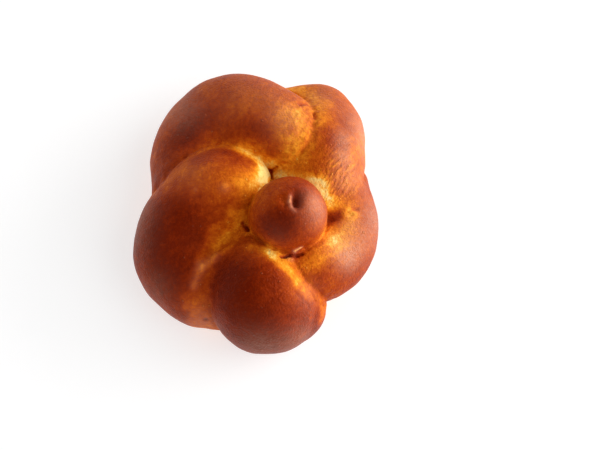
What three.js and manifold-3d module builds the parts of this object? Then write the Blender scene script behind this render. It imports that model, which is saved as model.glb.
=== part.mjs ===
// Pretzel knot roll: one rope of dough, tied in a double knot, proved and baked with a glossy egg wash.
// Five loops of the rope lie round the middle like petals, each one tucked under the next, and the end of
// the rope comes up through them as a round knob with a dimple on top. It sits on a flat sole.
// Millimetres, +Z up. The sole is on z = 0 and the origin is at the middle of the roll's outline.
import * as THREE from "three";
import { mergeVertices } from "three/addons/utils/BufferGeometryUtils.js";
import Module from "manifold-3d";

// The rope's loops, each as the stations that its middle passes: [x, y, height, radius of the rope there].
const BACK_LEFT_LOOP = [
  [-26, 9, 16, 13.8],
  [-25, 28, 14.8, 14.2],
  [-11.5, 41, 17.5, 15],
  [7.3, 32.3, 24, 14.8],
  [15.4, 25.1, 22.9, 14],
];
const BACK_RIGHT_LOOP = [
  [12, 41.6, 13, 11.8],
  [24.3, 40, 15.2, 13.4],
  [24.5, 23, 18.5, 17.5],
  [26, 6.5, 18.5, 13],
];
const RIGHT_LOOP = [
  [32, 11, 13, 11.5],
  [34.2, -5.5, 15, 12.5],
  [29.2, -17.3, 15.5, 13.4],
  [18, -24, 18.5, 13.5],
  [8, -23, 16, 12],
];
const LEFT_LOOP = [
  [-4.3, 13.4, 20.5, 7.7],
  [-9.5, 6.8, 24.6, 14.2],
  [-22.5, 0, 21.5, 15],
  [-30.7, -13.5, 15.5, 15.9],
  [-25.3, -27.2, 14, 13.8],
  [-15, -32, 13, 12],
];
const FRONT_LOOP = [
  [-2.5, -17.5, 19, 10],
  [1.2, -31.3, 19.8, 17.8],
  [3.5, -36.6, 18, 19.6],
  [10.5, -36.5, 15, 16],
];
const KNOB = [
  [10, -7, 14, 12],
  [11.8, -7.4, 25, 14.2],
  [12.4, -7.6, 33.2, 14.3],
];

// Dough that has swollen into the inside of a bend, as further stations.
const BACK_LEFT_SWELL = [
  [-21, 19, 12.5, 13],
  [-12, 28, 14.5, 14],
  [-2, 31, 17, 14.5],
];
const LEFT_SWELL = [
  [-19, 8.5, 19, 13.5],
  [-21, -10, 12.5, 13],
  [-19, -19, 11, 13.5],
  [-16, -27, 9, 12],
];

// The hidden stretch of the rope under the knob, and the crumb that has risen to fill the knot from below.
const CROSSING = [
  [-10, -13, 8, 13.5],
  [6, 6, 8, 14],
];
const HEART = { center: [0, -1, 8], halfSize: [36, 44, 12] };

// Two hollows in the crust: the dimple on the knob and the pit where three loops meet beside it.
const DIMPLE = { center: [15.2, -7.7, 47.8], radius: 2.4 };
const PIT = { center: [29.5, -4.8, 27.4], radius: 3.6 };

// The block of space below the floor, which leaves the sole flat.
const BELOW_FLOOR = { side: 300, depth: 60 };

const CRUST_COLOR = 0xa24c22;
const CRUST_ROUGHNESS = 0.32;

// Fineness of the facets.
const SIDES = 26;
const STEP_LENGTH = 3.5;
const END_ROWS = 5;
const WELD = 1e-3;

// How the rope bends. A route of ROUTE_TENSION passes its stations in near-round arcs. The inner side of a
// bend goes only BEND_SHARE of the way to the bend's centre, so that the skin never folds, and a ball at
// each station, with FILL_SHARE of the rope's radius, fills it. A turn of fewer rope radii than SHORTEST_TURN
// parts the rope into two stretches.
const ROUTE_TENSION = 0.62;
const BEND_SHARE = 0.8;
const SHORTEST_TURN = 1;
const FILL_SHARE = 0.97;

const wasm = await Module();
wasm.setup();

function smoothCurve(points) {
  return new THREE.CatmullRomCurve3(points, false, "catmullrom", ROUTE_TENSION);
}

// A row of balls strung along the route, with their places along it and their radii.
function ballsAlong(route, stations, steps) {
  const girth = smoothCurve(stations.map((station) => new THREE.Vector3(station[3], 0, 0)));
  return Array.from({ length: steps + 1 }, (_, step) => {
    const share = step / steps;
    const radius = girth.getPoint(route.getUtoTmapping(share)).x;
    return { at: share * route.getLength(), radius };
  });
}

// The rows of a stretch from tip to tip: the step of the route that each one stands on, and how far past the
// route's end it lies, on the two round ends.
function stretchRows(steps, startCap, endCap) {
  const rise = Array.from({ length: END_ROWS }, (_, row) => Math.cos((row * Math.PI) / (2 * END_ROWS)));
  const start = rise.map((share) => ({ step: 0, past: -share * startCap }));
  const middle = Array.from({ length: steps + 1 }, (_, step) => ({ step, past: 0 }));
  const end = rise.map((share) => ({ step: steps, past: share * endCap })).reverse();
  return [...start, ...middle, ...end];
}

// How quickly the route turns at each step, as a vector towards the inside of the bend: the sharper of the
// turns before and after it.
function bendsOf(tangents, stepLength) {
  const last = tangents.length - 1;
  return tangents.map((tangent, step) => {
    const before = tangent.clone().sub(tangents[Math.max(step - 1, 0)]);
    const after = tangents[Math.min(step + 1, last)].clone().sub(tangent);
    const sharper = before.length() > after.length() ? before : after;
    return sharper.divideScalar(stepLength);
  });
}

// One stretch of the rope: a spindle turned to the skin round its balls, then bent along its route.
function stretchGeometry(stations) {
  const route = smoothCurve(stations.map(([x, y, z]) => new THREE.Vector3(x, y, z)));
  const length = route.getLength();
  const steps = Math.ceil(length / STEP_LENGTH);
  const balls = ballsAlong(route, stations, steps);
  const startCap = Math.max(...balls.map(({ at, radius }) => radius - at));
  const endCap = Math.max(...balls.map(({ at, radius }) => radius + at)) - length;
  const rows = stretchRows(steps, startCap, endCap);

  const skin = rows.map(({ step, past }) => {
    const along = balls[step].at + past;
    const reach = balls.map(({ at, radius }) => radius ** 2 - (along - at) ** 2);
    return new THREE.Vector2(Math.sqrt(Math.max(0, ...reach)), along);
  });
  const geometry = new THREE.LatheGeometry(skin, SIDES);

  const { tangents, normals, binormals } = route.computeFrenetFrames(steps);
  const bends = bendsOf(tangents, length / steps);
  const position = geometry.attributes.position;
  for (let vertex = 0; vertex < position.count; vertex += 1) {
    const { step, past } = rows[vertex % rows.length];
    const out = new THREE.Vector3();
    out.addScaledVector(normals[step], position.getZ(vertex));
    out.addScaledVector(binormals[step], position.getX(vertex));
    const inward = out.dot(bends[step]);
    out.multiplyScalar(Math.min(1, BEND_SHARE / Math.max(inward, BEND_SHARE)));
    out.addScaledVector(tangents[step], past);
    out.add(route.getPointAt(step / steps));
    position.setXYZ(vertex, out.x, out.y, out.z);
  }
  return geometry;
}

// A loop's stretches: it is parted at each station where it turns too short to be bent there.
function stretchesOf(loop) {
  const points = loop.map(([x, y, z]) => new THREE.Vector3(x, y, z));
  const stretches = [[loop[0]]];
  for (let index = 1; index < loop.length; index += 1) {
    stretches.at(-1).push(loop[index]);
    if (index === loop.length - 1) {
      break;
    }
    const before = points[index].clone().sub(points[index - 1]);
    const after = points[index + 1].clone().sub(points[index]);
    const turnRadius = (before.length() + after.length()) / 2 / before.angleTo(after);
    const [x, y, z, radius] = loop[index];
    if (turnRadius < SHORTEST_TURN * radius) {
      stretches.push([[x, y, z, FILL_SHARE * radius]]);
    }
  }
  return stretches;
}

function heartGeometry({ center, halfSize }) {
  return new THREE.SphereGeometry(1, 2 * SIDES, SIDES).scale(...halfSize).translate(...center);
}

function ballGeometry({ center, radius }) {
  return new THREE.SphereGeometry(radius, SIDES, SIDES / 2).translate(...center);
}

function belowFloorGeometry({ side, depth }) {
  return new THREE.BoxGeometry(side, side, depth).translate(0, 0, -depth / 2);
}

function bendFills(loop) {
  return loop.slice(1, -1).map(([x, y, z, radius]) => {
    return ballGeometry({ center: [x, y, z], radius: FILL_SHARE * radius });
  });
}

// A closed geometry as a solid, with its seam and tips welded and the collapsed triangles dropped.
function solidOf(geometry) {
  geometry.deleteAttribute("normal");
  geometry.deleteAttribute("uv");
  const welded = mergeVertices(geometry, WELD);
  const corners = Array.from(welded.index.array);
  const isWhole = (first) => new Set(corners.slice(first, first + 3)).size === 3;
  const triVerts = new Uint32Array(corners.filter((_, index) => isWhole(index - (index % 3))));
  const vertProperties = new Float32Array(welded.attributes.position.array);
  return new wasm.Manifold(new wasm.Mesh({ numProp: 3, vertProperties, triVerts }));
}

function geometryOf(solid) {
  const { vertProperties, triVerts } = solid.getMesh();
  const geometry = new THREE.BufferGeometry();
  geometry.setAttribute("position", new THREE.BufferAttribute(vertProperties, 3));
  geometry.setIndex(new THREE.BufferAttribute(triVerts, 1));
  return geometry;
}

function rollGeometry() {
  const visible = [BACK_LEFT_LOOP, BACK_RIGHT_LOOP, RIGHT_LOOP, LEFT_LOOP, FRONT_LOOP, KNOB];
  const loops = [...visible, BACK_LEFT_SWELL, LEFT_SWELL, CROSSING];
  const stretches = loops.flatMap(stretchesOf).map(stretchGeometry);
  const pieces = [...stretches, ...loops.flatMap(bendFills), heartGeometry(HEART)];
  const knot = pieces.map(solidOf).reduce((joined, piece) => joined.add(piece));
  const cuts = [...[DIMPLE, PIT].map(ballGeometry), belowFloorGeometry(BELOW_FLOOR)];
  const roll = cuts.map(solidOf).reduce((body, cut) => body.subtract(cut), knot);
  const geometry = geometryOf(roll);
  geometry.computeBoundingBox();
  const middle = geometry.boundingBox.getCenter(new THREE.Vector3());
  geometry.translate(-middle.x, -middle.y, 0);
  geometry.computeVertexNormals();
  return geometry;
}

const crust = new THREE.MeshStandardMaterial({
  color: CRUST_COLOR,
  roughness: CRUST_ROUGHNESS,
  metalness: 0,
});
const roll = new THREE.Mesh(rollGeometry(), crust);
roll.name = "roll";

const pretzelKnotRoll = new THREE.Group();
pretzelKnotRoll.add(roll);

export default pretzelKnotRoll;
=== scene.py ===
"""Pretzel knot roll: one rope of egg-washed dough tied in a knot, five plump loops round a raised knob.

The loops run along the same stations as in the part's source. Here their skins melt into each other at the
creases, and the crust gets its unevenness, wrinkles, pits and browning, with painted shade in the pits and
slits and a painted sheen and highlights.
"""
import math

import bpy
import numpy as np
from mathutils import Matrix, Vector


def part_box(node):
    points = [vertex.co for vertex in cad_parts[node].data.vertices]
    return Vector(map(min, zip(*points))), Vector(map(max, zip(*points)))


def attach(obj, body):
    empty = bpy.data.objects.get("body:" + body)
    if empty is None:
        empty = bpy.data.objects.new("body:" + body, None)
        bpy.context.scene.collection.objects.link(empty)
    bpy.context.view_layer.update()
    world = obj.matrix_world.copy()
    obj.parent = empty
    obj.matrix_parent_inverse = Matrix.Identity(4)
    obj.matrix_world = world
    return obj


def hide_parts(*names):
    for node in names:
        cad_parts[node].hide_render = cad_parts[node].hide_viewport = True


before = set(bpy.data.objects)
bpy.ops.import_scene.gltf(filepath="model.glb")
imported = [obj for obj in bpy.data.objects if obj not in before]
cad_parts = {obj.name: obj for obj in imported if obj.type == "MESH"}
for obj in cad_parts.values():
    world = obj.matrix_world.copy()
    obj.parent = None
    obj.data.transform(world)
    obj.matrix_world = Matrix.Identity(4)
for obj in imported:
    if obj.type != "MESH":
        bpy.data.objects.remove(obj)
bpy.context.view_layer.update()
ROLL_LOW, ROLL_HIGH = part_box("roll")

MM = 0.001

# Routes of the dough, each row x, y, z and thickness from the middle to the skin, in mm
LOOPS = {
    "back_left": ((-26, 9, 16, 13.8), (-25, 28, 14.8, 14.2), (-11.5, 41, 17.5, 15),
                  (7.3, 32.3, 24, 14.8), (15.4, 25.1, 22.9, 14)),
    "back_right": ((12, 41.6, 13, 11.8), (24.3, 40, 15.2, 13.4), (24.5, 23, 18.5, 17.5),
                   (26, 6.5, 18.5, 13)),
    "right": ((32, 11, 13, 11.5), (34.2, -5.5, 15, 12.5), (29.2, -17.3, 15.5, 13.4),
              (18, -24, 18.5, 13.5), (8, -23, 16, 12)),
    "left": ((-4.3, 13.4, 20.5, 7.7), (-9.5, 6.8, 24.6, 14.2), (-22.5, 0, 21.5, 15),
             (-30.7, -13.5, 15.5, 15.9), (-25.3, -27.2, 14, 13.8), (-15, -32, 13, 12)),
    "front": ((-2.5, -17.5, 19, 10), (1.2, -31.3, 19.8, 17.8), (3.5, -36.6, 18, 19.6),
              (10.5, -36.5, 15, 16)),
    "knob": ((10, -7, 14, 12), (11.8, -7.4, 25, 14.2), (12.4, -7.6, 33.2, 14.3)),
    "crossing": ((-10, -13, 8, 13.5), (6, 6, 8, 14)),
}
# Dough squeezed into the inside of a bend or between two loops, in the same way
FILLS = {
    "back_left": ((-21, 19, 14, 12), (-12, 28, 17, 13.5), (-2, 31, 19.5, 14)),
    "left": ((-19, 8.5, 19, 13), (-21, -10, 13, 13), (-20, -19, 11, 13), (-17, -27, 9.5, 12)),
    "back_right": ((15, 14.5, 16, 8.5), (11.1, 14, 16, 7.6)),
    "crossing": ((-14, -15, 10, 13), (-11, -21, 11.5, 13.5)),
}
NAMES = list(LOOPS)
# The crumb that has risen to fill the knot from below, a flattened ball: its middle and its reach each way
HEART_MIDDLE = np.array((0, -1, 8.0))
HEART_REACH = np.array((36, 44, 12.0))
# How strongly a route bends at its stations, and the spacing of the balls along it in mm
ROUTE_PULL = 0.62
BALL_SPACING = 1.2

# How softly the dough of one loop and the skins of neighbours melt together, in mm, and the saddles where
# skins melt more: x, y, z, reach and extra
FILL_MELT = 4.0
MELT = 0.5
SADDLES = ((38, 3, 24, 7, 3.0), (-13, -21, 27, 8, 2.0), (-16, -31, 26, 8, 1.2), (31, -3.5, 27, 5, 1.5),
           (-4.5, -12.5, 26, 4, 1.6), (14, -23.5, 32, 4, 1.0), (-18, 19, 30.5, 6, 0.8),
           (-8, 20, 31.5, 6, 0.8))
# Rounding of the sole's edge in mm, and the height below which it is worked out
SOLE_EDGE = 1.2
SOLE_ZONE = 10

# Hollows and slits pressed into the skin: from and to, x, y, z each, half width and depth in mm, and
# added browning, which is painted shade in them
HOLLOWS = (
    ((15.2, -6.7, 47.2), (15.3, -8.7, 47.0), 1.7, 4.6, 0.14),
    ((15.0, -4.4, 47.4), (17.6, -4.8, 46.9), 1.3, 0.8, 0.08),
    ((10.6, -7.2, 47.7), (11.2, -9.4, 47.5), 1.5, 1.0, 0.00),
    ((28.2, -5.8, 26.2), (30.8, -5.2, 26.5), 1.9, 3.0, 0.28),
    ((34.6, -4.6, 27.2), (35.6, -5.2, 27.2), 0.8, 0.7, 0.04),
    ((36.6, -3.2, 27.2), (38.6, -2.6, 26.6), 0.6, 0.5, 0.22),
    ((4.5, 14.5, 25.8), (5.5, 13.6, 24.6), 0.60, 2.2, 0.60),
    ((5.5, 13.4, 24.5), (5.6, 11.5, 24.3), 0.50, 1.6, 0.35),
    ((5.6, 13.9, 24.9), (8.0, 14.3, 28.6), 0.50, 1.8, 0.50),
    ((22.0, 33.4, 33.8), (22.0, 31.6, 34.4), 0.5, 0.8, 0.25),
    ((20.8, 24.0, 35.8), (19.3, 20.0, 35.4), 0.45, 0.6, 0.12),
    ((19.3, 20.0, 35.4), (17.6, 17.2, 34.5), 0.45, 0.7, 0.16),
    ((17.6, 17.2, 34.5), (13.4, 15.7, 32.3), 0.45, 0.7, 0.16),
    ((13.4, 15.7, 32.3), (9.5, 14.4, 29.8), 0.45, 0.7, 0.14),
    ((19.6, 21.2, 35.3), (19.0, 19.9, 35.1), 0.45, 0.8, 0.25),
    ((18.2, 19.1, 34.9), (17.4, 17.8, 34.6), 0.45, 0.8, 0.30),
    ((13.4, 15.9, 32.3), (12.4, 15.1, 31.6), 0.45, 0.8, 0.30),
    ((-4.5, -8.7, 27.6), (-2.8, -12.0, 28.9), 0.55, 1.8, 0.42),
    ((17.0, 37.0, 36.6), (20.0, 38.4, 34.0), 0.8, 1.8, 0.30),
    ((9.8, -24.8, 34.0), (13.4, -23.6, 32.5), 0.5, 1.5, 0.55),
    ((13.4, -23.5, 32.4), (15.6, -23.6, 32.2), 0.5, 1.2, 0.45),
    ((15.6, -23.6, 32.1), (17.6, -22.7, 32.0), 0.5, 1.2, 0.30),
    ((21.2, -36.3, 28.4), (22.4, -38.6, 25.0), 0.5, 0.6, 0.08),
    ((22.4, -38.6, 25.0), (26.5, -38.8, 18.5), 0.5, 0.6, 0.08),
    ((14.8, -38.4, 34.4), (17.6, -40.6, 31.6), 0.5, 0.35, 0.12),
    ((18.2, -40.2, 31.2), (20.6, -42.2, 27.6), 0.5, 0.35, 0.12),
    ((-18.6, -43.8, 18.0), (-18.2, -43.8, 18.0), 0.6, 0.3, 0.50),
)
# Low ridges and blisters that stand up from the skin, in the same way, and the share of painted sheen along
# them. On the knob's hook and under the knob their paleness is a painted highlight
RIDGES = (
    ((13.4, -6.0, 48.0), (13.0, -8.2, 47.8), 0.5, 0.8, -0.46, 0.2),
    ((13.0, -8.2, 47.8), (13.6, -10.1, 47.4), 0.5, 0.8, -0.46, 0.2),
    ((13.6, -10.1, 47.4), (14.8, -11.6, 46.8), 0.5, 0.7, -0.44, 0.2),
    ((34.5, -2.5, 27.0), (37.5, -4.5, 26.6), 0.7, 0.5, -0.16, 0.0),
    ((14.9, -22.2, 33.5), (17.1, -21.1, 34.2), 0.5, 0.4, -0.60, 0.35),
    ((12.4, -25.0, 33.2), (13.6, -25.2, 32.8), 0.6, 0.5, -0.16, 0.1),
    ((-9.5, -19.7, 30.4), (-14.7, -22.7, 29.9), 1.3, 0.6, -0.14, 0.0),
    ((-14.7, -22.7, 29.9), (-19.9, -26.2, 28.8), 1.3, 0.7, -0.15, 0.05),
    ((-19.9, -26.2, 28.8), (-22.8, -33.6, 27.4), 1.3, 0.7, -0.14, 0.05),
    ((-33.6, 7.4, 28.5), (-26.6, 14.8, 30.6), 0.6, 0.3, -0.16, 0.05),
    ((-26.6, 14.8, 30.6), (-19.9, 19.4, 31.0), 0.6, 0.3, -0.16, 0.05),
    ((-11.8, 1.0, 38.7), (-11.4, 1.0, 38.7), 1.3, 0.4, -0.10, 0.05),
    ((-22.2, 0.8, 37.3), (-22.0, 0.8, 37.3), 0.5, 0.2, -0.45, 0.1),
)
# How much wider than a hollow its painted shade spreads, and than a ridge its painted sheen
HOLLOW_SHADE_SPREAD = 1.3
RIDGE_PAINTED_SHINE_SPREAD = 1.5
# Depth and width of the creases between loops, in mm
CREASE_DEPTH = 0.7
CREASE_WIDTH = 0.8

# Waves that make the skin uneven: height and length in mm, how many, and the seed of their draw
BROAD_WAVES = (0.35, 20, 12, 1)
SHORT_WAVES = (0.10, 7, 14, 2)
CREASE_WAVES = (0.3, 3.2, 16, 6)
CREASE_WAVES_REACH = 2.0
LUMP_WAVES = (0.4, 2.4, 16, 8)
# Where the lumps lie, on the end of the left-hand back loop: from, to and reach
LUMPS = ((18, 33, 36), (13, 17, 31), 5)
# Heights between which the unevenness fades in above the sole, in mm
FLAT_BELOW, UNEVEN_ABOVE = 0.3, 5

# Fine wrinkles in the skin of the right-hand back loop, in mm: their middle, reach, spacing, height and the
# way across, how they wander, how much paler their crests are, a painted highlight, and a second place for
# the finest of them with its share
WRINKLE_MIDDLE = (31, 8, 31)
WRINKLE_REACH = 8
WRINKLE_SPACING = 1.5
WRINKLE_HEIGHT = 0.20
WRINKLE_WAY = np.array((0.8, -0.55, 0.2))
WRINKLE_WANDER = (0.6, 6, 10, 7)
WRINKLE_PAINTED_HIGHLIGHT = 0.05
SECOND_WRINKLES = ((32, 19, 33), 7)
SECOND_SHARE = 0.7

# Sides and rows of the balls that the mesh starts from
BALL_SIDES, BALL_ROWS = 28, 14
# Size of the mesh on the upper side in mm, and how far the sole is drawn in while the mesh is made, to be
# coarser, up to which height
VOXEL = 0.54
SOLE_DRAWN_IN = 0.55
DRAWN_IN_BELOW = 30
# Rounds of settling on the skin, of spreading the mesh evenly and of settling again
FIRST_SETTLING, SPREADING, LAST_SETTLING = 3, 6, 4
# Settling: its longest step in mm, and the least square of the way out, where ways nearly cancel
LONGEST_STEP = 1.5
LEAST_SQUARE = 0.15


def route(stations):
    """Balls along a loop: a cubic curve through the stations whose slope at each one is the pull times the
    step between its two neighbours, sampled at even steps. Gives middles, sizes, directions, how fast the
    sizes grow, at most 0.9 mm a mm, and half steps."""
    p = np.array(stations, float)
    p = np.vstack([2 * p[0] - p[1], p, 2 * p[-1] - p[-2]])
    spans = len(stations) - 1
    length = np.linalg.norm(np.diff(p[1:-1, :3], axis=0), axis=1).sum()
    t = np.linspace(0, spans, int(length / BALL_SPACING) + 2)
    i = np.minimum(t.astype(int), spans - 1)
    w = (t - i)[:, None]
    m1 = ROUTE_PULL * (p[i + 2] - p[i])
    m2 = ROUTE_PULL * (p[i + 3] - p[i + 1])
    q = ((2 * w**3 - 3 * w**2 + 1) * p[i + 1] + (w**3 - 2 * w**2 + w) * m1
         + (3 * w**2 - 2 * w**3) * p[i + 2] + (w**3 - w**2) * m2)
    step = np.gradient(q, axis=0)
    pace = np.linalg.norm(step[:, :3], axis=1)
    return {"middle": q[:, :3], "size": q[:, 3], "along": step[:, :3] / pace[:, None],
            "growth": np.clip(step[:, 3] / pace, -0.9, 0.9), "half": pace / 2}


ROUTES = {name: route(stations) for name, stations in LOOPS.items()}
FILL_ROUTES = {name: route(stations) for name, stations in FILLS.items()}


def ball_skins():
    """Balls on every route: each is its middle plus its size times a unit ball, a grid of turn and tilt."""
    turn = np.linspace(0, 2 * np.pi, BALL_SIDES + 1)[:-1]
    tilt = np.linspace(0, np.pi, BALL_ROWS + 1)
    unit = np.stack([np.sin(tilt)[:, None] * np.cos(turn), np.sin(tilt)[:, None] * np.sin(turn),
                     np.cos(tilt)[:, None] * np.ones_like(turn)], axis=-1)
    rows_of_balls = list(ROUTES.values()) + list(FILL_ROUTES.values())
    middles = np.vstack([r["middle"][::2] for r in rows_of_balls] + [HEART_MIDDLE[None]])
    sizes = [np.repeat(r["size"][::2, None], 3, axis=1) for r in rows_of_balls]
    sizes = np.vstack(sizes + [HEART_REACH[None]])
    points = middles[:, None, None] + sizes[:, None, None] * unit
    points[..., 2] = np.maximum(points[..., 2], 0)
    rows, columns = unit.shape[:2]
    row, column = np.meshgrid(np.arange(rows - 1), np.arange(columns), indexing="ij")
    after = (column + 1) % columns
    face = np.stack([row * columns + column, (row + 1) * columns + column, (row + 1) * columns + after,
                     row * columns + after], axis=-1).reshape(-1, 4)
    faces = (face[None] + (np.arange(len(middles)) * rows * columns)[:, None, None]).reshape(-1, 4)
    return points.reshape(-1, 3), faces


def loop_distance(points, loop):
    """Distance from points to one loop's skin and the way out of it: the nearest ball, slid along its route
    by up to 1.2 half steps to where distance less size is least."""
    best = np.full(len(points), np.inf)
    index = np.zeros(len(points), int)
    for number, (middle, size) in enumerate(zip(loop["middle"], loop["size"])):
        d = np.sqrt(((points - middle) ** 2).sum(1)) - size
        nearer = d < best
        best = np.where(nearer, d, best)
        index = np.where(nearer, number, index)
    middle, along = loop["middle"][index], loop["along"][index]
    growth, half = loop["growth"][index], loop["half"][index]
    offset = points - middle
    ahead = (offset * along).sum(1)
    aside = np.sqrt(np.maximum((offset**2).sum(1) - ahead**2, 1e-9))
    slide = np.clip(ahead + growth * aside / np.sqrt(1 - growth**2), -1.2 * half, 1.2 * half)
    out = offset - slide[:, None] * along
    reach = np.sqrt((out**2).sum(1)) + 1e-9
    return reach - loop["size"][index] - slide * growth, out / reach[:, None]


def heart_distance(points):
    """Distance to the flattened ball of dough under the knot, from its level and the slope of that level."""
    scaled = (points - HEART_MIDDLE) / HEART_REACH
    level = np.sqrt((scaled**2).sum(1)) + 1e-9
    slope = scaled / HEART_REACH / level[:, None]
    steep = np.sqrt((slope**2).sum(1)) + 1e-9
    return (level - 1) / steep, slope / steep[:, None]


def bump_at(points, place, reach):
    """A bell of height 1 round a place."""
    return np.exp(-((points - np.array(place)) ** 2).sum(1) / reach**2)


def bell_along(points, start, end, reach, steep=1):
    """A bell of height 1 round the straight line from start to end. A larger steep gives steeper sides."""
    start, run = np.array(start), np.array(end) - np.array(start)
    along = np.clip(((points - start) @ run) / (run @ run), 0, 1)
    return np.exp(-((((points - start - along[:, None] * run) ** 2).sum(1) / reach**2) ** steep))


def soft_larger(d1, n1, d2, n2, edge):
    """The larger of two distances with a rounded edge, and its way out. For a negative edge, the smaller."""
    w = 1 / (1 + np.exp(np.clip((d2 - d1) / edge, -40, 40)))
    plain = np.maximum(d1, d2) if edge > 0 else np.minimum(d1, d2)
    d = plain + edge * np.log1p(np.exp(-np.abs((d1 - d2) / edge)))
    return d, w[:, None] * n1 + (1 - w)[:, None] * n2


def dough_distance(points, name):
    """Distance to a loop with its squeezed-in dough, melted together, and the way out."""
    d, way = loop_distance(points, ROUTES[name])
    if name in FILL_ROUTES:
        d, way = soft_larger(d, way, *loop_distance(points, FILL_ROUTES[name]), -FILL_MELT)
    return d, way


def roll_distance(points):
    """Distance to the whole roll's skin: the loops and the heart melted together and cut flat at the sole,
    and the way out. Also gives each loop's own distance."""
    each, ways = zip(*[dough_distance(points, name) for name in NAMES])
    heart, heart_way = heart_distance(points)
    each = np.array(each + (heart,))
    ways = np.array(ways + (heart_way,))
    melt = MELT + sum(extra * bump_at(points, (x, y, z), reach) for x, y, z, reach, extra in SADDLES)
    nearest = each.min(0)
    share = np.exp(-(each - nearest) / melt)
    total = share.sum(0)
    d = nearest - melt * np.log(total)
    way = ((share / total)[..., None] * ways).sum(0)
    down = np.tile((0.0, 0.0, -1.0), (len(points), 1))
    low = points[:, 2] < SOLE_ZONE
    d[low], way[low] = soft_larger(d[low], way[low], -points[low, 2], down[low], SOLE_EDGE)
    return d, way, each


def relaxed(points, faces, rounds):
    """Points spread evenly: each round moves every point to the mean middle of the faces round it."""
    corners = faces.ravel()
    count = np.bincount(corners)
    for _ in range(rounds):
        middles = np.repeat(points[faces].mean(1), 4, axis=0)
        points = np.stack([np.bincount(corners, middles[:, axis]) / count for axis in range(3)], axis=1)
    return points


def settle(points, rounds):
    """Brings points onto the skin: each round steps back along the way out by the distance."""
    for _ in range(rounds):
        d, way = roll_distance(points)[:2]
        square = np.maximum((way**2).sum(1), LEAST_SQUARE)
        step = np.clip(d / square, -LONGEST_STEP, LONGEST_STEP)
        points = points - step[:, None] * way
    return points


def waves(points, height, length, count, seed):
    """Gentle unevenness of about that height up and down: sine waves from all sides, 0.7 to 1.4 times that
    length."""
    draw = np.random.default_rng(seed)
    way = draw.normal(size=(count, 3))
    way /= np.linalg.norm(way, axis=1)[:, None]
    pace = 2 * np.pi / (length * draw.uniform(0.7, 1.4, count))
    start = draw.uniform(0, 2 * np.pi, count)
    return height * (np.sin(points @ (way * pace[:, None]).T + start).sum(1) / math.sqrt(count / 2) / 2)


def smooth_step(x, low, high):
    """0 below low, 1 above high, and a soft ramp between."""
    t = np.clip((x - low) / (high - low), 0, 1)
    return t * t * (3 - 2 * t)


def drawn_in(points):
    """Share of their distance from the middle that points keep while the mesh is made: least at the sole,
    all of it high up."""
    return (1 - SOLE_DRAWN_IN * (1 - smooth_step(points[:, 2], 0, DRAWN_IN_BELOW)))[:, None]


# The strengths in BAKE, PALE_BANDS, DARK_TOPS, SPOTS and the painted sheen were estimated by least squares
# against the photograph, at places chosen one by one, and some were then changed
# How far the flanks of each loop have baked, 0 for pale dough to 1 for the darkest brown
BAKE = {"back_left": 0.54, "back_right": 0.45, "right": 0.61, "left": 0.72, "front": 0.78,
        "knob": 0.58, "crossing": 0.48}
HEART_BAKE = 0.5
SOLE_BAKE = 0.55
# How far in mm the bake of two loops runs into each other
BAKE_BLEND = 0.7
# Paleness of the dough deep in the knot, and of the foot of the roll, between two heights in mm
INNER_PALENESS = 0.10
FOOT_PALENESS = 0.20
FOOT_FROM, FOOT_TO = 16, 3
# How much the bake is spread about its middle, and the waves that make it uneven
MIDDLE_BAKE = 0.52
BAKE_SPREAD = 1.15
BAKE_WAVES = (0.05, 14, 10, 3)
FINE_BAKE_WAVES = (0.04, 4, 14, 4)

# Pale dough beside a crease, where a neighbour kept the heat off: loop, neighbour, how far from it the
# band's middle lies, its half width in mm, and paleness
PALE_BANDS = (
    ("back_left", "left", 0, 5, 0.06), ("back_left", "back_right", 0, 5, 0.17),
    ("back_right", "back_left", 0, 6, 0.19), ("back_right", "knob", 0, 4, 0.2),
    ("right", "knob", 0, 5, -0.05), ("front", "right", 2.5, 4, 0.29), ("front", "knob", 0, 4, 0.1),
    ("front", "left", 0, 3, 0.12), ("left", "front", 5.5, 4, 0.21), ("left", "front", 0, 2.5, 0.13),
    ("left", "knob", 0, 6, 0.15), ("left", "back_left", 0, 4.5, 0.31), ("knob", "left", 0, 2, 0.28),
    ("knob", "right", 0, 2, -0.05),
)
# Waves that make the bands' edges wander
BAND_WANDER = (0.25, 9, 8, 5)

# The darkest tops, each along a line: from and to, x, y, z each, reach in mm and added browning
DARK_TOPS = (
    ((-29, -10, 33), (-30, -28, 27), 11.5, 0.19),
    ((-1, 27, 37), (4, 25, 36), 4.5, 0.04),
)
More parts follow.
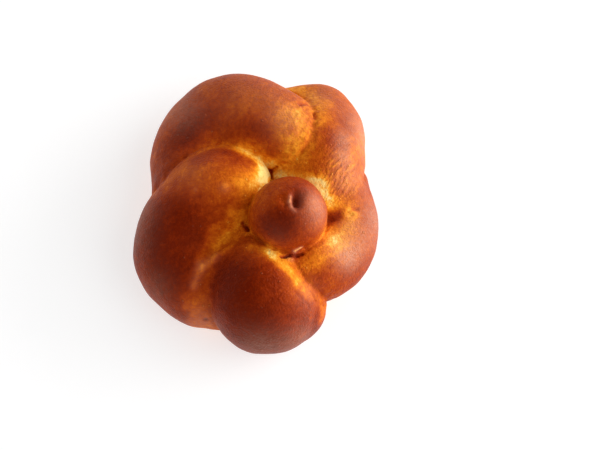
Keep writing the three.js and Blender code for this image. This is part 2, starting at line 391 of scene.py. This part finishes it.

# Summits baked darker and spots left paler: x, y, z, reach in mm and change in browning. The paler spots
# on the knob's right, at 21.8, -6.5, 44.8, and on the end of the left-hand back loop, at 12, 31, 39, are
# partly painted highlight
SPOTS = (
    (-20, 6, 37, 9, -0.24), (-40, -14, 24, 9, 0.10), (-9, -36, 35, 9, 0.18), (6, -45, 35, 9, 0.05),
    (-3, -46, 34, 9, 0.14), (2, -54, 25, 9, 0.18), (-28, 24, 28, 9, 0.26), (-21, 32, 30, 9, 0.27),
    (0.5, 26, 36, 6, 0.2), (-34, 11, 24, 8, 0.31), (6.5, -15, 44, 6.5, 0.2), (16, -5, 46, 6, 0.16),
    (28, 22, 35, 7, 0.20), (30, 36, 26, 9, 0.13), (5.5, 18, 31, 5, 0.11), (-2, -21.5, 34, 4.5, -0.27),
    (10.8, -16.5, 43.5, 7.5, 0.33), (12, 31, 39, 8, -0.18), (3.5, 9.5, 32, 5.5, -0.53),
    (1, 5, 35, 4, -0.09), (9.5, 14, 25.5, 3.5, -0.08), (-8, 4, 38, 9, -0.45), (-14, 4, 38, 8, 0.24),
    (2, 18, 30, 5, -0.19), (18, 22, 34, 7, -0.04), (14, 16, 30, 6, -0.06), (24.3, 5.5, 32, 3.5, -0.38),
    (26, 2, 30.5, 3, -0.13), (24, -23, 31, 5, -0.16), (30, -15.5, 28.8, 7, -0.46),
    (35.6, -4.4, 27.4, 4, -0.36), (-9, -19, 28, 6, -0.26), (5, -24, 35, 5, -0.3), (-8, 29, 33, 6, 0.1),
    (24, -31, 28.8, 4, 0.1), (15, -37, 35, 6, -0.3), (-30, 4, 33, 8, -0.09), (31, 30, 31, 7, 0.13),
    (19, 31, 36, 4, 0.09), (24, 17, 35.5, 5, 0.11), (21, 11, 33.5, 4, 0.09),
    (-2.5, -13.5, 27.5, 4.5, -0.20), (11.5, -29, 35, 4, -0.25), (19.5, -27, 31.5, 5, -0.20),
    (36, -10, 27.5, 4, -0.14), (29, -11.5, 27.5, 4, -0.13), (-5, 19, 33, 4, -0.24),
    (-7.5, -14, 27.5, 4, -0.18), (25, -40, 20, 5, -0.1), (-22, -21, 30, 7, -0.03), (9, 23, 37, 4, -0.13),
    (-5, 33, 38, 6, -0.04), (6, -9, 46, 5, -0.1), (9, 24, 36.5, 4, 0.06), (-16, 28, 33, 5, -0.09),
    (14, -37, 35.5, 5, 0.05), (21.8, -6.5, 44.8, 4, -0.10), (-21, -1, 38, 5, -0.08),
    (15, -46, 31, 5, -0.06), (32, 7.5, 31.4, 5, -0.05), (11, -8, 48, 2.5, -0.10),
    (14, -19.5, 39.5, 5, -0.06), (25.4, 23.9, 36, 4.5, 0.10), (20.5, 14, 35, 4, 0.08),
    (24, 30.5, 35, 4, -0.08), (28.5, 35, 33, 4, -0.05), (14, 11.3, 31, 3, 0.10),
    (17.5, 10.2, 32.5, 3.5, 0.10), (28, -1.2, 29.5, 3.5, -0.13),
)

# Painted sheen: the pale haze that the glaze reflects on flanks facing the lamps and at the rims, painted
# into the crust's colour: x, y, z, reach in mm and strength
PAINTED_SHEENS = (
    (38, 30, 24, 9, 0.24), (40, 20, 25, 8, 0.08), (38, 10, 26, 7, 0.08), (33, 8, 30, 6, 0.13),
    (44, -4, 20, 8, 0.24), (41, -15, 24, 7, 0.14), (35, -22, 27, 6, 0.25), (12, 30, 38, 8, 0.13),
    (-6, 43, 32, 11, 0.06), (-28, 38, 24, 10, 0.16), (25, 42, 27, 8, 0.10), (22, -9, 42, 6, 0.20),
    (20, -38, 30, 6, 0.08), (2, -55, 22, 9, 0.11), (-43, -14, 22, 9, 0.06), (-38, 16, 22, 9, 0.04),
    (-24, 7, 36, 8, 0.04), (5, 40, 37, 8, 0.05), (33.2, 23, 33.8, 4, 0.17), (33.2, 16, 33.7, 4, 0.2),
    (-36, -32, 20, 8, 0.07), (-20, -45, 16, 8, 0.13), (16, -52, 20, 8, 0.14), (8, -20, 40, 6, 0.03),
    (-40, -4, 24, 7, 0.11), (21.8, -6.5, 44.8, 4, 0.06), (32, -17.5, 28.8, 6.5, 0.10),
    (35.8, -9.5, 27.6, 4.5, 0.09),
)


def browning_of(points, each):
    """How far each spot of the crust has baked, 0 for pale dough to 1 for the darkest brown: each loop's own
    bake, less near the sole, pale in flat-topped bands beside the creases, dark on the tops, and uneven."""
    nearest = each.min(0)
    share = np.exp(-(each - nearest) / BAKE_BLEND)
    share /= share.sum(0)
    bake = (share[:-1].T @ np.array([BAKE[name] for name in NAMES])) + HEART_BAKE * share[-1]
    bake -= FOOT_PALENESS * smooth_step(-points[:, 2], -FOOT_FROM, -FOOT_TO)
    pale = INNER_PALENESS * (share[NAMES.index("crossing")] + share[-1])
    wander = 1 + waves(points, *BAND_WANDER)
    for loop, beside, middle, width, paleness in PALE_BANDS:
        away = np.abs(np.maximum(each[NAMES.index(beside)], 0) * wander - middle) / width
        pale += share[NAMES.index(loop)] * paleness * np.exp(-(away**4))
    bake = bake - pale
    for start, end, reach, change in DARK_TOPS:
        bake = bake + change * bell_along(points, start, end, reach, steep=2)
    for x, y, z, reach, change in SPOTS:
        bake = bake + change * bump_at(points, (x, y, z), reach)
    bake = MIDDLE_BAKE + BAKE_SPREAD * (bake - MIDDLE_BAKE)
    bake = bake + waves(points, *BAKE_WAVES) + waves(points, *FINE_BAKE_WAVES)
    sole = smooth_step(-points[:, 2], -SOLE_EDGE, -FLAT_BELOW)
    return np.clip(bake * (1 - sole) + SOLE_BAKE * sole, 0, 1)


def new_object(name, points, faces):
    """A mesh object from an array of points and an array of faces, with its place in its mesh."""
    mesh = bpy.data.meshes.new(name)
    mesh.from_pydata(points.tolist(), [], faces.tolist())
    piece = bpy.data.objects.new(name, mesh)
    bpy.context.scene.collection.objects.link(piece)
    return piece


def remeshed(piece, voxel):
    """The piece's overlapping skins joined into one even mesh: its points and its faces."""
    change = piece.modifiers.new("one_skin", "REMESH")
    change.mode = "VOXEL"
    change.voxel_size = voxel
    drawn = piece.evaluated_get(bpy.context.evaluated_depsgraph_get()).data
    points = np.zeros(len(drawn.vertices) * 3, np.float32)
    drawn.vertices.foreach_get("co", points)
    loops = np.zeros(len(drawn.loops), np.int32)
    drawn.loops.foreach_get("vertex_index", loops)
    points, faces = points.reshape(-1, 3).astype(float), loops.reshape(-1, 4)
    bpy.data.objects.remove(piece)
    return points, faces


# The roll's mesh
start_points, start_faces = ball_skins()
start_points[:, :2] *= drawn_in(start_points)
rough = new_object("rough_roll", start_points, start_faces)
skin, skin_faces = remeshed(rough, VOXEL)
skin[:, :2] /= drawn_in(skin)
skin = relaxed(settle(skin, FIRST_SETTLING), skin_faces, SPREADING)
skin = settle(skin, LAST_SETTLING)
_, out, apart = roll_distance(skin)
out /= np.linalg.norm(out, axis=1)[:, None]

# Its relief, as lift along the way out, with browning, painted shade in the hollows, and a painted sheen and
# highlights
beside = np.maximum(np.partition(apart, 1, axis=0)[1], 0)
lift = waves(skin, *BROAD_WAVES) + waves(skin, *SHORT_WAVES)
lift += np.exp(-beside / CREASE_WAVES_REACH) * waves(skin, *CREASE_WAVES)
lift += bell_along(skin, *LUMPS) * waves(skin, *LUMP_WAVES)
lift -= CREASE_DEPTH * np.exp(-((beside / CREASE_WIDTH) ** 2))
across = (skin @ WRINKLE_WAY) / WRINKLE_SPACING + waves(skin, *WRINKLE_WANDER)
wrinkles = bump_at(skin, WRINKLE_MIDDLE, WRINKLE_REACH) * np.sin(2 * np.pi * across)
lift += WRINKLE_HEIGHT * wrinkles
lift *= smooth_step(skin[:, 2], FLAT_BELOW, UNEVEN_ABOVE)
# Wrinkle crests paler: painted highlight
browning = browning_of(skin, apart) - WRINKLE_PAINTED_HIGHLIGHT * wrinkles
# Hollows pressed in, with the crust darkened in and round each one: painted shade
for start, end, half_width, depth, change in HOLLOWS:
    lift -= depth * bell_along(skin, start, end, half_width)
    browning += change * bell_along(skin, start, end, HOLLOW_SHADE_SPREAD * half_width)
# Painted sheen: a pale haze standing for the glaze's reflection, later mixed into the crust's colour
painted_sheen = sum(strength * bump_at(skin, (x, y, z), reach) for x, y, z, reach, strength in PAINTED_SHEENS)
# Paler ridges; on the knob's hook and under the knob this paleness is painted highlight
for start, end, half_width, height, change, painted_shine in RIDGES:
    lift += height * bell_along(skin, start, end, half_width)
    browning += change * bell_along(skin, start, end, half_width)
    painted_sheen += painted_shine * bell_along(skin, start, end, RIDGE_PAINTED_SHINE_SPREAD * half_width)
browning = np.clip(browning, 0, 1)
skin = skin + lift[:, None] * out
skin[:, 2] = np.maximum(skin[:, 2], 0)

# Its place, with the middle of its outline over the middle of the solid's
middle = (skin.min(0) + skin.max(0)) / 2
solid_middle = (ROLL_LOW + ROLL_HIGH) / 2
PLACE = np.array((solid_middle.x - middle[0] * MM, solid_middle.y - middle[1] * MM, ROLL_LOW.z))
roll = new_object("knot_roll", skin * MM + PLACE, skin_faces)
roll.data.polygons.foreach_set("use_smooth", np.ones(len(skin_faces), bool))
wrinkled = bump_at(skin, WRINKLE_MIDDLE, WRINKLE_REACH) + SECOND_SHARE * bump_at(skin, *SECOND_WRINKLES)
for name, values in (("browning", browning), ("painted_sheen", painted_sheen), ("wrinkled", wrinkled)):
    attribute = roll.data.attributes.new(name, "FLOAT", "POINT")
    attribute.data.foreach_set("value", values.astype(np.float32))


def linear(hex_color):
    """An sRGB hex colour as linear red, green, blue and 1."""
    parts = [int(hex_color[i:i + 2], 16) / 255 for i in (1, 3, 5)]
    return tuple(c / 12.92 if c <= 0.04045 else ((c + 0.055) / 1.055) ** 2.4 for c in parts) + (1,)


def add_node(tree, kind, settings=None, inputs=None):
    """Adds one node: settings are its own properties, and inputs gives each input a value or an output."""
    made = tree.nodes.new(kind)
    for name, value in (settings or {}).items():
        setattr(made, name, value)
    for name, value in (inputs or {}).items():
        if isinstance(value, bpy.types.NodeSocket):
            tree.links.new(value, made.inputs[name])
        else:
            made.inputs[name].default_value = value
    return made


# Browning of egg-washed dough, from pale dough to the darkest crust
CRUST_STOPS = ((0.0, "#FBDF88"), (0.09, "#F9BB4C"), (0.20, "#EE921E"), (0.32, "#D77111"),
               (0.46, "#B85009"), (0.62, "#9D3605"), (0.80, "#802201"), (1.0, "#641200"))
# Colour of the painted sheen, the glaze's pale reflection painted into the crust
PAINTED_SHEEN_COLOR = "#E7BCA0"
GLAZE_TINT = "#FFB877"
# Sizes in mm of the crust's mottling, blister spacing, folds and pores, and the depth of its fine relief
MOTTLE_SIZE = 1.6
BLISTER_SPACING = 3.2
FOLD_LENGTH = 4
PORE_SIZE = 0.8
GRAIN_DEPTH = 0.5
# How much the mottling, blisters and folds change the browning, which on the blisters and the crests of the
# folds paints glints and highlights, the share of blister places that have one, a blister's painted glint,
# how high folds stand against pores, and how much narrower than long they are
MOTTLE_STRENGTH = 0.60
BLISTER_PALENESS_AND_GLINT = 0.16
FOLD_PAINTED_HIGHLIGHT = 0.07
BLISTER_SHARE = 0.38
BLISTER_PAINTED_GLINT = 0.05
FOLD_RELIEF = 0.3
FOLD_SQUEEZE = 4


def crust_material():
    """Egg-washed bread crust: browned starch under a thin dried glaze, so a deep warm brown with a soft
    shine, mottled, with fine pores, tiny pale blisters and folds where the skin wrinkles. Part of the shine
    is
    painted into the colour: a pale painted sheen, painted glints on the blisters and painted highlights on
    the crests of the folds."""
    material = bpy.data.materials.new("egg_washed_crust")
    material.use_nodes = True
    tree = material.node_tree
    tree.nodes.clear()
    place = add_node(tree, "ShaderNodeTexCoord").outputs["Object"]
    baked = add_node(tree, "ShaderNodeAttribute", {"attribute_name": "browning"}).outputs["Fac"]
    mottle = add_node(tree, "ShaderNodeTexNoise", {"noise_dimensions": "3D"},
                      {"Vector": place, "Scale": 1 / (MOTTLE_SIZE * MM), "Detail": 4.0,
                       "Roughness": 0.75}).outputs["Fac"]
    uneven = add_node(tree, "ShaderNodeMath", {"operation": "MULTIPLY_ADD"},
                      {0: mottle, 1: MOTTLE_STRENGTH, 2: -MOTTLE_STRENGTH / 2})
    cells = add_node(tree, "ShaderNodeTexVoronoi", None,
                     {"Vector": place, "Scale": 1 / (BLISTER_SPACING * MM)})
    dots = add_node(tree, "ShaderNodeMapRange", None,
                    {"Value": cells.outputs["Distance"], "From Min": 0.03, "From Max": 0.16,
                     "To Min": 1.0, "To Max": 0.0})
    chance = add_node(tree, "ShaderNodeSeparateColor", None,
                      {"Color": cells.outputs["Color"]}).outputs["Red"]
    some = add_node(tree, "ShaderNodeMath", {"operation": "GREATER_THAN"},
                    {0: chance, 1: 1 - BLISTER_SHARE}).outputs[0]
    blisters = add_node(tree, "ShaderNodeMath", {"operation": "MULTIPLY"},
                        {0: dots.outputs["Result"], 1: some}).outputs[0]
    # Paler blisters: partly pale blisters of the crust, partly painted glints
    paler_dots = add_node(tree, "ShaderNodeMath", {"operation": "MULTIPLY_ADD"},
                          {0: blisters, 1: -BLISTER_PALENESS_AND_GLINT, 2: uneven.outputs[0]}).outputs[0]
    across = add_node(tree, "ShaderNodeVectorMath", {"operation": "DOT_PRODUCT"},
                      {0: place, 1: tuple(WRINKLE_WAY)}).outputs["Value"]
    squeezed = add_node(tree, "ShaderNodeVectorMath", {"operation": "SCALE"},
                        {0: tuple(FOLD_SQUEEZE * WRINKLE_WAY), "Scale": across}).outputs["Vector"]
    drawn_out = add_node(tree, "ShaderNodeVectorMath", {"operation": "ADD"},
                         {0: place, 1: squeezed}).outputs["Vector"]
    folds = add_node(tree, "ShaderNodeTexNoise", {"noise_dimensions": "3D"},
                     {"Vector": drawn_out, "Scale": 1 / (FOLD_LENGTH * MM), "Detail": 1.0,
                      "Distortion": 0.3}).outputs["Fac"]
    spread = add_node(tree, "ShaderNodeMapRange", None,
                      {"Value": folds, "From Min": 0.35, "From Max": 0.65,
                       "To Min": -1.0, "To Max": 1.0}).outputs["Result"]
    where = add_node(tree, "ShaderNodeAttribute", {"attribute_name": "wrinkled"}).outputs["Fac"]
    creased = add_node(tree, "ShaderNodeMath", {"operation": "MULTIPLY"}, {0: spread, 1: where}).outputs[0]
    # Paler fold crests: painted highlight
    streaked = add_node(tree, "ShaderNodeMath", {"operation": "MULTIPLY_ADD"},
                        {0: creased, 1: -FOLD_PAINTED_HIGHLIGHT, 2: paler_dots}).outputs[0]
    shade = add_node(tree, "ShaderNodeMath", {"operation": "ADD", "use_clamp": True},
                     {0: baked, 1: streaked}).outputs[0]
    ramp = add_node(tree, "ShaderNodeValToRGB", None, {"Fac": shade})
    stops = ramp.color_ramp.elements
    stops[0].position, stops[1].position = 0.0, 1.0
    for at, _ in CRUST_STOPS[1:-1]:
        stops.new(at)
    for stop, (_, color) in zip(stops, CRUST_STOPS):
        stop.color = linear(color)
    pores = add_node(tree, "ShaderNodeTexNoise", {"noise_dimensions": "3D"},
                     {"Vector": place, "Scale": 1 / (PORE_SIZE * MM), "Detail": 2.0,
                      "Roughness": 0.6}).outputs["Fac"]
    grain = add_node(tree, "ShaderNodeMapRange", None,
                     {"Value": pores, "From Min": 0.3, "From Max": 0.7,
                      "To Min": 0.6, "To Max": 1.4}).outputs["Result"]
    # The painted sheen, grained by the pores, and the blisters' painted glints, mixed into the colour
    sheen_painted = add_node(tree, "ShaderNodeAttribute", {"attribute_name": "painted_sheen"}).outputs["Fac"]
    painted_shine = add_node(tree, "ShaderNodeMath", {"operation": "MULTIPLY"}, {0: sheen_painted, 1: grain}).outputs[0]
    painted_shine_share = add_node(tree, "ShaderNodeMath", {"operation": "MULTIPLY_ADD"},
                     {0: blisters, 1: BLISTER_PAINTED_GLINT, 2: painted_shine}).outputs[0]
    color = add_node(tree, "ShaderNodeMix", {"data_type": "RGBA"},
                     {"Factor": painted_shine_share, 6: ramp.outputs["Color"], 7: linear(PAINTED_SHEEN_COLOR)}).outputs[2]
    folded = add_node(tree, "ShaderNodeMath", {"operation": "MULTIPLY_ADD"},
                      {0: creased, 1: FOLD_RELIEF, 2: pores}).outputs[0]
    relief = add_node(tree, "ShaderNodeMath", {"operation": "ADD"}, {0: folded, 1: blisters}).outputs[0]
    bump = add_node(tree, "ShaderNodeBump", None,
                    {"Height": relief, "Strength": 0.9, "Distance": GRAIN_DEPTH * MM})
    rough = add_node(tree, "ShaderNodeMapRange", None,
                     {"Value": shade, "From Min": 0.2, "From Max": 0.8, "To Min": 0.6, "To Max": 0.42})
    shader = add_node(tree, "ShaderNodeBsdfPrincipled", None, {
        "Base Color": color, "Roughness": rough.outputs["Result"], "IOR": 1.45,
        "Specular IOR Level": 0.14, "Specular Tint": linear(GLAZE_TINT),
        "Normal": bump.outputs["Normal"]})
    add_node(tree, "ShaderNodeOutputMaterial", None, {"Surface": shader.outputs["BSDF"]})
    return material


roll.data.materials.append(crust_material())
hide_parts("roll")
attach(roll, "root")

# Floor of matt white paper with a little light of its own, as pale as in the photograph
FLOOR_HALF = 3.0
floor = new_object("floor", np.array(((-1, -1, 0), (1, -1, 0), (1, 1, 0), (-1, 1, 0))) * FLOOR_HALF,
                   np.array(((0, 1, 2, 3),)))
paper = bpy.data.materials.new("white_paper")
paper.use_nodes = True
paper_shader = paper.node_tree.nodes["Principled BSDF"].inputs
paper_shader["Base Color"].default_value = linear("#B8B8B8")
paper_shader["Roughness"].default_value = 0.9
paper_shader["Emission Color"].default_value = (1, 1, 1, 1)
paper_shader["Emission Strength"].default_value = 0.6
floor.data.materials.append(paper)

# Studio surroundings: white walls and a darker ceiling
world = bpy.data.worlds.new("studio")
bpy.context.scene.world = world
world.use_nodes = True
sky = world.node_tree
sky.nodes.clear()
way_out = add_node(sky, "ShaderNodeTexCoord").outputs["Generated"]
height = add_node(sky, "ShaderNodeSeparateXYZ", None, {"Vector": way_out}).outputs["Z"]
fade = add_node(sky, "ShaderNodeMapRange", {"interpolation_type": "SMOOTHSTEP"},
                {"Value": height, "From Min": 0.45, "From Max": 0.85, "To Min": 0.95, "To Max": 0.25})
glow = add_node(sky, "ShaderNodeBackground", None,
                {"Color": (1, 1, 1, 1), "Strength": fade.outputs["Result"]})
add_node(sky, "ShaderNodeOutputWorld", None, {"Surface": glow.outputs["Background"]})


def place_light(name, azimuth, elevation, distance, width, height, power):
    """A wide soft light that looks at the roll from that bearing, in degrees, metres and watts: azimuth 0 is
    the photograph's side."""
    a, e = math.radians(azimuth), math.radians(elevation)
    spot = np.array((math.sin(a) * math.cos(e), -math.cos(a) * math.cos(e), math.sin(e))) * distance
    data = bpy.data.lights.new(name, "AREA")
    data.shape = "RECTANGLE"
    data.size = width
    data.size_y = height
    data.energy = power
    lamp = bpy.data.objects.new(name, data)
    lamp.location = spot
    lamp.rotation_euler = (math.pi / 2 - e, 0, a)
    bpy.context.scene.collection.objects.link(lamp)


place_light("window_right", 105, 16, 1.0, 1.0, 0.5, 10)
place_light("ceiling_right", 70, 47, 1.0, 1.0, 0.8, 4)

# Camera at the photograph's angle: distance in metres, and how far in mm it stands to the right and below
ELEVATION = math.radians(68)
DISTANCE = 0.8
ASIDE, BELOW = 16.70, 4.00
AIM = np.array((0, -2, 20)) * MM + PLACE
RIGHT = np.array((1, 0, 0))
UP = np.array((0, math.sin(ELEVATION), math.cos(ELEVATION)))
BACK = np.array((0, -math.cos(ELEVATION), math.sin(ELEVATION)))
camera_data = bpy.data.cameras.new("camera")
camera_data.sensor_width = 36
camera_data.lens = 126.3
camera_data.clip_start = 0.01
camera = bpy.data.objects.new("camera", camera_data)
camera.location = AIM + ASIDE * MM * RIGHT - BELOW * MM * UP + DISTANCE * BACK
camera.rotation_euler = (math.pi / 2 - ELEVATION, 0, 0)
bpy.context.scene.collection.objects.link(camera)
bpy.context.scene.camera = camera
bpy.context.scene.view_settings.view_transform = "Standard"
